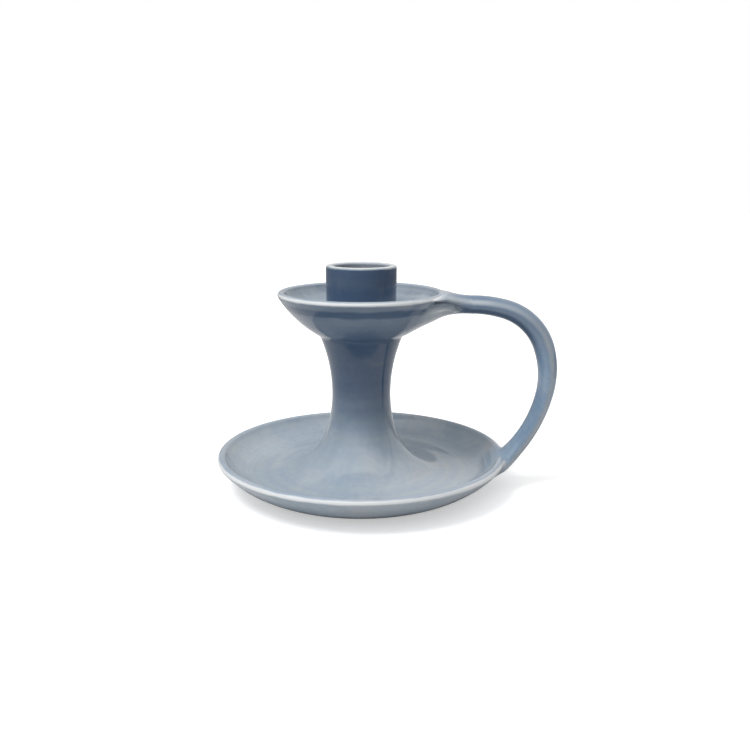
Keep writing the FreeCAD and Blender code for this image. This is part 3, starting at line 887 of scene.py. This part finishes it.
def new_group(name, inputs, outputs):
    """An empty shader group, the sockets that its nodes read and the sockets that they fill."""
    group = bpy.data.node_groups.new(name, "ShaderNodeTree")
    for label, value in inputs.items():
        made = group.interface.new_socket(name=label, in_out="INPUT", socket_type="NodeSocketFloat")
        made.default_value = value
    for label in outputs:
        group.interface.new_socket(name=label, in_out="OUTPUT", socket_type="NodeSocketFloat")
    return group, node(group, "NodeGroupInput").outputs, node(group, "NodeGroupOutput").inputs


def rim_group():
    """How near a place is to a round rim about the Z axis, and to the band just below it outside."""
    group, given, result = new_group(
        "rim_line_mask", {"Rim Radius": 0.06, "Rim Height": 0.02, "Line Width": 0.001, "Band Width": 0.002},
        ("Line", "Band"))
    radius, height = from_axis(group)
    across = math_node(group, "SUBTRACT", radius, given["Rim Radius"])
    up = math_node(group, "SUBTRACT", height, given["Rim Height"])
    away = hypotenuse(group, across, up)
    wobble = node(group, "ShaderNodeTexNoise", {
        "Vector": object_place(group), "Scale": 120.0, "Detail": 2.0}).outputs["Fac"]
    uneven = math_node(group, "ADD", wobble, 0.5)
    near = []
    for label, start in (("Line Width", 0.35), ("Band Width", 0.45)):
        gap = math_node(group, "DIVIDE", away, product(group, given[label], uneven))
        near.append(faded(group, gap, start, 1.0, 1.0, 0.0))
    outside = faded(group, across, -0.0002, 0.0008)
    group.links.new(near[0], result["Line"])
    group.links.new(product(group, near[1], outside), result["Band"])
    return group


def mottle_group():
    """Cloudy thick and thin glaze, warm blotches, dark specks and the faint waves of its surface."""
    group, given, result = new_group(
        "glaze_mottle", {"Cloud Scale": 38.0, "Speck Scale": 130.0},
        ("Cloud", "Fine", "Blotch", "Speck", "Wave"))
    place = object_place(group)
    for label, low, high, inputs in (
            ("Cloud", 0.33, 0.67, {"Scale": given["Cloud Scale"], "Detail": 3.0, "Roughness": 0.55}),
            ("Fine", 0.3, 0.7, {"Scale": 420.0, "Detail": 4.0, "Roughness": 0.6}),
            ("Blotch", 0.6, 0.78, {"Scale": 62.0, "Detail": 2.0, "Distortion": 0.4})):
        noise = node(group, "ShaderNodeTexNoise", {"Vector": place, **inputs})
        group.links.new(faded(group, noise.outputs["Fac"], low, high), result[label])
    wave = node(group, "ShaderNodeTexNoise", {"Vector": place, "Scale": 75.0, "Detail": 1.0})
    group.links.new(wave.outputs["Fac"], result["Wave"])
    cells = node(group, "ShaderNodeTexVoronoi", {
        "Vector": place, "Scale": given["Speck Scale"], "Randomness": 1.0}).outputs
    chance = node(group, "ShaderNodeSeparateColor", {0: cells["Color"]}).outputs[0]
    lone = math_node(group, "GREATER_THAN", chance, 0.94)
    speck = faded(group, cells["Distance"], 0.05, 0.09, 1.0, 0.0)
    group.links.new(product(group, speck, lone), result["Speck"])
    return group


def ring_group():
    """The faint turned rings that the potter's fingers leave, under the glaze."""
    group, given, result = new_group("throwing_rings", {"Rings": 330.0}, ("Ring",))
    along = math_node(group, "ADD", *from_axis(group))
    noise = node(group, "ShaderNodeTexNoise", {
        "W": product(group, along, given["Rings"]), "Scale": 1.0, "Detail": 2.0}, noise_dimensions="1D")
    group.links.new(noise.outputs["Fac"], result["Ring"])
    return group


def shade_and_inside_group():
    """Painted shade, darkest near the socket, high on the stem and on steep and downward faces; and where the
    glaze is thin inside the socket.
    """
    group, given, result = new_group("glaze_shade_and_inside", {"Bore Radius": 0.0115}, ("Depth", "Inside"))
    radius, height = from_axis(group)
    up = faded(group, height, (FLOOR_HEIGHT + SHADE_START_RISE) * MM, (WAIST_HEIGHT + SHADE_END_RISE) * MM)
    # Painted shade: steep and downward faces darker than upward ones, more so high up and near the axis
    steep = faded(group, facing_up(group), 0.1, 0.75, 1.0, 0.12)
    near_axis = faded(group, radius, SOCKET_RADIUS * MM, PAN_RIM_ACROSS * MM, 1.0, 0.55)
    high = faded(group, height, THROAT_HEIGHT * MM, PAN_FLOOR_HEIGHT * MM)
    bore = math_node(group, "ADD", given["Bore Radius"], 0.0009)
    group.links.new(product(group, up, near_axis, steep), result["Depth"])
    group.links.new(product(group, math_node(group, "LESS_THAN", radius, bore), high), result["Inside"])
    return group


GROUP_MAKERS = {
    "rim_line_mask": rim_group, "glaze_mottle": mottle_group,
    "throwing_rings": ring_group, "glaze_shade_and_inside": shade_and_inside_group}


def placed(tree, name, **inputs):
    """The outputs of a shader group with its inputs set. The group is made at its first use."""
    group = bpy.data.node_groups.get(name) or GROUP_MAKERS[name]()
    values = {label.replace("_", " ").title(): value for label, value in inputs.items()}
    return node(tree, "ShaderNodeGroup", values, node_tree=group).outputs


# Materials

def new_material(name):
    """A material with its node tree and its shader."""
    material = bpy.data.materials.new(name)
    material.use_nodes = True
    return material, material.node_tree, material.node_tree.nodes["Principled BSDF"]


def emboss(tree, shader, relief, strength, depth):
    """Link the bumps of a relief to a shader."""
    bump = node(tree, "ShaderNodeBump", {"Height": relief, "Strength": strength, "Distance": depth})
    tree.links.new(bump.outputs["Normal"], shader.inputs["Normal"])


def glaze_material(name, look):
    """Glossy glaze with deep blue painted shade, and pale rims of thin glaze over clay with a painted
    highlight.
    """
    material, tree, shader = new_material(name)
    mottle = placed(tree, "glaze_mottle")
    rings = placed(tree, "throwing_rings")
    # Painted shade mask, and the thin glaze inside the socket
    depth = placed(tree, "glaze_shade_and_inside", bore_radius=BORE_RADIUS * MM)
    cover = node(tree, "ShaderNodeAttribute", attribute_name="strap_cover").outputs["Fac"]
    # Handle-edge mark: thin glaze with a painted highlight, and painted light on the upper web's flank
    edge = node(tree, "ShaderNodeAttribute", attribute_name="strap_edge_and_sheen").outputs["Fac"]
    bare = math_node(tree, "SUBTRACT", 1.0, cover, clamp=True)

    def tinted(colour, tint, *masks):
        return blended(tree, product(tree, *masks), colour, rgba(tint))

    # Painted shade on the handle: darker on its downward faces and toward its top run
    height = parts_of(tree, object_place(tree))[2]
    top_run = faded(tree, height, STRAP_RUN_HEIGHT * MM, PAN_FLOOR_HEIGHT * MM, 0.0, STRAP_RUN_SHARE)
    hung = faded(tree, product(tree, facing_up(tree), -1.0), 0.05, 0.6)
    strap = tinted(rgba(look.strap_glaze), look.shade_glaze, math_node(tree, "MAXIMUM", top_run, hung))
    # Painted shade laid over the glaze of the turned pieces
    colour = tinted(rgba(look.glaze), look.shade_glaze, depth["Depth"])
    colour = blended(tree, product(tree, cover, STRAP_COLOUR_SHARE), colour, strap)
    colour = tinted(colour, look.thin_glaze, depth["Inside"], INSIDE_SHARE)
    cloud = product(
        tree, faded(tree, mottle["Cloud"], 0.0, 1.0, 0.94, 1.06),
        faded(tree, mottle["Fine"], 0.0, 1.0, 0.975, 1.025))
    ringed = faded(tree, rings["Ring"], 0.3, 0.7, 1.03, 0.97)
    tone = node(tree, "ShaderNodeCombineColor", {
        0: product(tree, math_node(tree, "POWER", cloud, 1.5), ringed),
        1: product(tree, cloud, ringed),
        2: math_node(tree, "POWER", cloud, 0.6)}).outputs[0]
    colour = blended(tree, 1.0, colour, tone, "MULTIPLY")
    colour = tinted(colour, look.warm_blotch, mottle["Blotch"], BLOTCH_SHARE)

    # Painted shade: a dark band in the crease under the drip pan's rim
    rim_shade = placed(
        tree, "rim_line_mask", rim_radius=(PAN_RIM_ACROSS - RIM_SHADE_INSET) * MM,
        rim_height=(PAN_CREST - RIM_SHADE_DROP) * MM, line_width=RIM_SHADE_WIDTH * MM)
    colour = tinted(colour, look.shade_glaze, rim_shade["Line"], bare, RIM_SHADE_SHARE)
    # Pale lines on the rims: thin glaze over clay, with a painted highlight
    for radius, height, line_width, band_width, band_share in THIN_RIMS_AND_HIGHLIGHTS:
        rim = placed(
            tree, "rim_line_mask", rim_radius=radius * MM, rim_height=height * MM,
            line_width=line_width * MM, band_width=band_width * MM)
        colour = tinted(colour, look.thin_glaze, rim["Band"], bare, band_share)
        colour = tinted(colour, look.pale_clay_and_highlight, rim["Line"], bare, LINE_SHARE)
    # Handle edges: thin glaze with a painted highlight, and painted light on the upper web's flank
    patchy = faded(tree, mottle["Cloud"], 0.0, 1.0, 1.0, 0.6)
    colour = tinted(colour, look.edge_glaze_and_sheen, edge, patchy)
    colour = tinted(colour, look.speck, mottle["Speck"], SPECK_SHARE)
    tree.links.new(colour, shader.inputs["Base Color"])

    rough = faded(tree, mottle["Cloud"], 0.0, 1.0, look.gloss_roughness, look.gloss_roughness + 0.05)
    tree.links.new(rough, shader.inputs["Roughness"])
    shader.inputs["IOR"].default_value = GLAZE_REFRACTION
    relief = math_node(tree, "MULTIPLY_ADD", rings["Ring"], 0.06, mottle["Wave"])
    relief = math_node(tree, "MULTIPLY_ADD", mottle["Speck"], -0.5, relief)
    emboss(tree, shader, relief, 1.0, 0.00012)
    return material


def clay_material(name, look):
    """Bare fired clay: pale, matt and slightly gritty."""
    material, tree, shader = new_material(name)
    mottle = placed(tree, "glaze_mottle", cloud_scale=90.0, speck_scale=520.0)
    colour = blended(tree, mottle["Cloud"], rgba(look.bare_clay), rgba(look.worn_clay))
    colour = blended(tree, product(tree, mottle["Speck"], CLAY_SPECK_SHARE), colour, rgba(look.speck))
    tree.links.new(colour, shader.inputs["Base Color"])
    tree.links.new(faded(tree, mottle["Fine"], 0.0, 1.0, 0.68, 0.82), shader.inputs["Roughness"])
    emboss(tree, shader, mottle["Fine"], 0.6, 0.0001)
    return material


def glaze_now(look):
    """The glaze that all the glazed pieces share, made once."""
    return bpy.data.materials.get("turned_glaze") or glaze_material("turned_glaze", look)


# What a user can change

class ChamberstickSizes(bpy.types.PropertyGroup):
    around: IntProperty(
        name="Steps around", description="Facets around the turned pieces", default=240, min=24)
    outline_step: FloatProperty(
        name="Outline step", description="Longest facet along a turned outline",
        default=0.9 * MM, subtype="DISTANCE", unit="LENGTH")
    join_pitch: FloatProperty(
        name="Join pitch", description="Grid that the handle's clay joins are made on",
        default=0.5 * MM, subtype="DISTANCE", unit="LENGTH")
    upper_blend: FloatProperty(
        name="Upper blend", description="How far the clay is smoothed where strap and drip pan meet",
        default=6.5 * MM, subtype="DISTANCE", unit="LENGTH")
    rim_blend: FloatProperty(
        name="Rim blend", description="How far the clay is smoothed along the drip pan's rim",
        default=2.2 * MM, subtype="DISTANCE", unit="LENGTH")
    lower_blend: FloatProperty(
        name="Lower blend", description="How far the clay is smoothed where strap and saucer meet",
        default=8.0 * MM, subtype="DISTANCE", unit="LENGTH")
    skin: FloatProperty(
        name="Join skin", description="How deep a join goes under the turned surface",
        default=1.2 * MM, subtype="DISTANCE", unit="LENGTH")
    sink: FloatProperty(
        name="Join sink", description="How far a join's edge lies under the turned surface",
        default=0.012 * MM, subtype="DISTANCE", unit="LENGTH")


class ChamberstickLook(bpy.types.PropertyGroup):
    glaze: FloatVectorProperty(
        name="Glaze", description="Main colour of the glaze", subtype="COLOR", size=3,
        default=(0.328, 0.384, 0.440), min=0, max=1)
    # Colour of painted shade: on steep, downward and high parts, under the pan's rim and on the handle
    shade_glaze: FloatVectorProperty(
        name="Deep glaze", description="Colour where the glaze is thick", subtype="COLOR", size=3,
        default=(0.058, 0.098, 0.170), min=0, max=1)
    thin_glaze: FloatVectorProperty(
        name="Thin glaze", description="Colour of the band under a rim", subtype="COLOR", size=3,
        default=(0.610, 0.625, 0.610), min=0, max=1)
    # Pale clay on the rims, with a painted highlight along their crests
    pale_clay_and_highlight: FloatVectorProperty(
        name="Pale clay", description="Clay that shows through on an edge", subtype="COLOR", size=3,
        default=(0.720, 0.740, 0.750), min=0, max=1)
    strap_glaze: FloatVectorProperty(
        name="Strap glaze", description="Colour of the glaze on the handle", subtype="COLOR", size=3,
        default=(0.205, 0.290, 0.395), min=0, max=1)
    # Handle edges: thin glaze with a painted highlight, and painted light on the upper web's flank
    edge_glaze_and_sheen: FloatVectorProperty(
        name="Edge glaze", description="Colour of the glaze on the handle's edges", subtype="COLOR", size=3,
        default=(0.375, 0.415, 0.450), min=0, max=1)
    warm_blotch: FloatVectorProperty(
        name="Warm blotch", description="Iron tint in the glaze", subtype="COLOR", size=3,
        default=(0.420, 0.330, 0.300), min=0, max=1)
    speck: FloatVectorProperty(
        name="Speck", description="Pinholes and iron specks", subtype="COLOR", size=3,
        default=(0.120, 0.110, 0.120), min=0, max=1)
    bare_clay: FloatVectorProperty(
        name="Bare clay", description="Unglazed foot", subtype="COLOR", size=3,
        default=(0.620, 0.570, 0.500), min=0, max=1)
    worn_clay: FloatVectorProperty(
        name="Worn clay", description="Unglazed foot where it is rubbed", subtype="COLOR", size=3,
        default=(0.520, 0.460, 0.390), min=0, max=1)
    gloss_roughness: FloatProperty(
        name="Gloss roughness", description="Roughness of the glaze", default=0.06, min=0, max=1)


class ChamberstickStudio(bpy.types.PropertyGroup):
    top_power: FloatProperty(
        name="Top lamp", description="Power of the lamp overhead", default=4.6, subtype="POWER", unit="POWER")
    key_level: FloatProperty(
        name="Key level", description="Brightness of the room above the camera", default=1.38, min=0)
    key_way: FloatVectorProperty(
        name="Key direction", description="Where the room is brightest", subtype="DIRECTION", size=3,
        default=(-0.18, -0.58, 1.0))
    back_level: FloatProperty(
        name="Back level", description="Brightness of the room behind the object", default=0.62, min=0)
    front_level: FloatProperty(
        name="Front level", description="Brightness of the room before the object", default=0.03, min=0)
    floor_colour: FloatVectorProperty(
        name="Floor", description="Colour of the floor", subtype="COLOR", size=3,
        default=(0.70, 0.70, 0.70), min=0, max=1)
    floor_edge: FloatVectorProperty(
        name="Floor edge", description="Colour of the floor out of the picture", subtype="COLOR", size=3,
        default=(0.30, 0.30, 0.30), min=0, max=1)


# Operators

class CHAMBERSTICK_OT_turned(bpy.types.Operator):
    """Build the saucer, stem, drip pan and candle socket"""

    bl_idname = "chamberstick.turned"
    bl_label = "Build turned pieces"

    def execute(self, context):
        sizes = context.scene.chamberstick_sizes
        glaze = glaze_now(context.scene.chamberstick_look)
        outlines = turned_outlines()
        for name in ("saucer", "stem", "drip_pan", "candle_socket"):
            runs = runs_of(outlines[name], sizes.outline_step / MM)
            new_piece(name, glaze, *turned_mesh(runs, sizes.around))
        return {"FINISHED"}


class CHAMBERSTICK_OT_handle(bpy.types.Operator):
    """Build the loop of the handle and its two clay joins"""

    bl_idname = "chamberstick.handle"
    bl_label = "Build handle"

    def execute(self, context):
        sizes = context.scene.chamberstick_sizes
        glaze = glaze_now(context.scene.chamberstick_look)
        outlines = turned_outlines()
        new_piece("handle_loop", glaze, *loop_mesh(Strap(STRAP_STEP), STRAP_AROUND))
        for name, kind in (("upper_handle_root", UpperJoin), ("lower_handle_root", LowerJoin)):
            new_piece(name, glaze, *grown_mesh(kind(outlines, sizes), sizes.join_pitch / MM))
        return {"FINISHED"}


class CHAMBERSTICK_OT_bare(bpy.types.Operator):
    """Finish the foot ring and the socket floor, which keep their own shape"""

    bl_idname = "chamberstick.bare"
    bl_label = "Finish foot and socket floor"

    def execute(self, context):
        look = context.scene.chamberstick_look
        dress(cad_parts["foot_ring"], clay_material("bare_foot", look))
        dress(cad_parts["socket_floor"], glaze_now(look))
        return {"FINISHED"}


class CHAMBERSTICK_OT_stage(bpy.types.Operator):
    """Set up the floor, the lamp, the room and the camera"""

    bl_idname = "chamberstick.stage"
    bl_label = "Set up stage"

    def execute(self, context):
        scene = context.scene
        studio = scene.chamberstick_studio
        self.make_floor(scene, studio)
        self.make_lamp(scene, studio)
        self.make_room(scene, studio)
        self.make_camera(scene)
        scene.view_settings.view_transform = "Standard"
        return {"FINISHED"}

    def make_floor(self, scene, studio):
        """A pale floor that grows white away from the object, where only the camera sees it."""
        half = 3.0
        corners = [(-half, -half, 0), (half, -half, 0), (half, half, 0), (-half, half, 0)]
        mesh = bpy.data.meshes.new("studio_floor")
        mesh.from_pydata(corners, [], [(0, 1, 2, 3)])
        floor = bpy.data.objects.new("studio_floor", mesh)
        scene.collection.objects.link(floor)
        material, tree, shader = new_material("studio_floor")
        shader.inputs["Roughness"].default_value = 0.8
        shader.inputs["Specular IOR Level"].default_value = 0.0
        shader.inputs["Emission Color"].default_value = WHITE
        place = object_place(tree)
        away = node(tree, "ShaderNodeVectorMath", {0: place}, operation="LENGTH").outputs["Value"]
        edge = faded(tree, away, 0.18, 0.36)
        colour = blended(tree, edge, rgba(studio.floor_colour), rgba(studio.floor_edge))
        tree.links.new(colour, shader.inputs["Base Color"])
        seen = node(tree, "ShaderNodeLightPath").outputs["Is Camera Ray"]
        lift = product(tree, seen, faded(tree, away, 0.10, 0.34, 0.48, 1.0))
        tree.links.new(lift, shader.inputs["Emission Strength"])
        dress(floor, material)

    def make_lamp(self, scene, studio):
        """A soft disc overhead that the glaze does not mirror."""
        lamp = bpy.data.lights.new("lamp_top", "AREA")
        lamp.shape = "DISK"
        lamp.size = 0.34
        lamp.energy = studio.top_power
        holder = bpy.data.objects.new("lamp_top", lamp)
        holder.location = (-0.34, -0.36, 0.80)
        holder.visible_glossy = False
        holder.rotation_euler = (-holder.location).to_track_quat("-Z", "Y").to_euler()
        scene.collection.objects.link(holder)

    def make_room(self, scene, studio):
        """A white tent that is open towards the camera, brightest above it on the left."""
        room = bpy.data.worlds.new("studio_room")
        scene.world = room
        room.use_nodes = True
        tree = room.node_tree
        shader = tree.nodes["Background"]
        way = node(tree, "ShaderNodeTexCoord").outputs["Generated"]
        sideways, backward, _ = parts_of(tree, way)
        behind = faded(tree, backward, -0.05, 0.03, studio.front_level, studio.back_level)
        behind = product(tree, behind, faded(tree, sideways, -0.45, 0.45, 0.6, 1.45))
        key_way = tuple(Vector(studio.key_way).normalized())
        key = node(tree, "ShaderNodeVectorMath", {0: way, 1: key_way}, operation="DOT_PRODUCT")
        above = faded(tree, key.outputs["Value"], 0.45, 0.98, 0.0, studio.key_level)
        level = math_node(tree, "MAXIMUM", behind, above)
        seen = node(tree, "ShaderNodeLightPath").outputs["Is Camera Ray"]
        short = math_node(tree, "SUBTRACT", 1.0, level)
        shader.inputs["Color"].default_value = WHITE
        tree.links.new(math_node(tree, "MULTIPLY_ADD", seen, short, level), shader.inputs["Strength"])

    def make_camera(self, scene):
        """The photo's view, from a third of a metre in front and a little above."""
        place = Vector((29.9, -341.6, 126.6)) * MM
        sensor = 36.0
        pixels = 750.0
        focal_pixels = 842.3
        yaw, pitch, roll = math.radians(-4.049), math.radians(13.05), math.radians(0.206)
        camera = bpy.data.cameras.new("studio_camera")
        camera.sensor_width = sensor
        camera.lens = focal_pixels * sensor / pixels
        camera.clip_start = 0.01
        ahead = Vector((math.sin(yaw) * math.cos(pitch), math.cos(yaw) * math.cos(pitch), -math.sin(pitch)))
        level_right = ahead.cross(Vector((0.0, 0.0, 1.0))).normalized()
        level_up = level_right.cross(ahead)
        right = level_right * math.cos(roll) + level_up * math.sin(roll)
        up = level_up * math.cos(roll) - level_right * math.sin(roll)
        turn = Matrix((right, up, -ahead)).transposed()
        holder = bpy.data.objects.new("studio_camera", camera)
        holder.matrix_world = Matrix.Translation(place) @ turn.to_4x4()
        scene.collection.objects.link(holder)
        scene.camera = holder


class CHAMBERSTICK_PT_panel(bpy.types.Panel):
    """Lists the steps and the values that a user can change"""

    bl_idname = "CHAMBERSTICK_PT_panel"
    bl_label = "Chamberstick"
    bl_space_type = "VIEW_3D"
    bl_region_type = "UI"
    bl_category = "Chamberstick"

    def draw(self, context):
        layout = self.layout
        for operator in OPERATORS:
            layout.operator(operator.bl_idname)
        for group in (context.scene.chamberstick_sizes, context.scene.chamberstick_look,
                      context.scene.chamberstick_studio):
            column = layout.column()
            for name in group.bl_rna.properties.keys():
                if name not in ("rna_type", "name"):
                    column.prop(group, name)


OPERATORS = (CHAMBERSTICK_OT_turned, CHAMBERSTICK_OT_handle, CHAMBERSTICK_OT_bare, CHAMBERSTICK_OT_stage)
PROPERTY_GROUPS = (ChamberstickSizes, ChamberstickLook, ChamberstickStudio)


def register():
    for each in PROPERTY_GROUPS + OPERATORS + (CHAMBERSTICK_PT_panel,):
        bpy.utils.register_class(each)
    bpy.types.Scene.chamberstick_sizes = PointerProperty(type=ChamberstickSizes)
    bpy.types.Scene.chamberstick_look = PointerProperty(type=ChamberstickLook)
    bpy.types.Scene.chamberstick_studio = PointerProperty(type=ChamberstickStudio)


def unregister():
    del bpy.types.Scene.chamberstick_studio
    del bpy.types.Scene.chamberstick_look
    del bpy.types.Scene.chamberstick_sizes
    for each in reversed(PROPERTY_GROUPS + OPERATORS + (CHAMBERSTICK_PT_panel,)):
        bpy.utils.unregister_class(each)


def main():
    register()
    bpy.ops.chamberstick.turned()
    bpy.ops.chamberstick.handle()
    bpy.ops.chamberstick.bare()
    bpy.ops.chamberstick.stage()


if __name__ == "__main__":
    main()
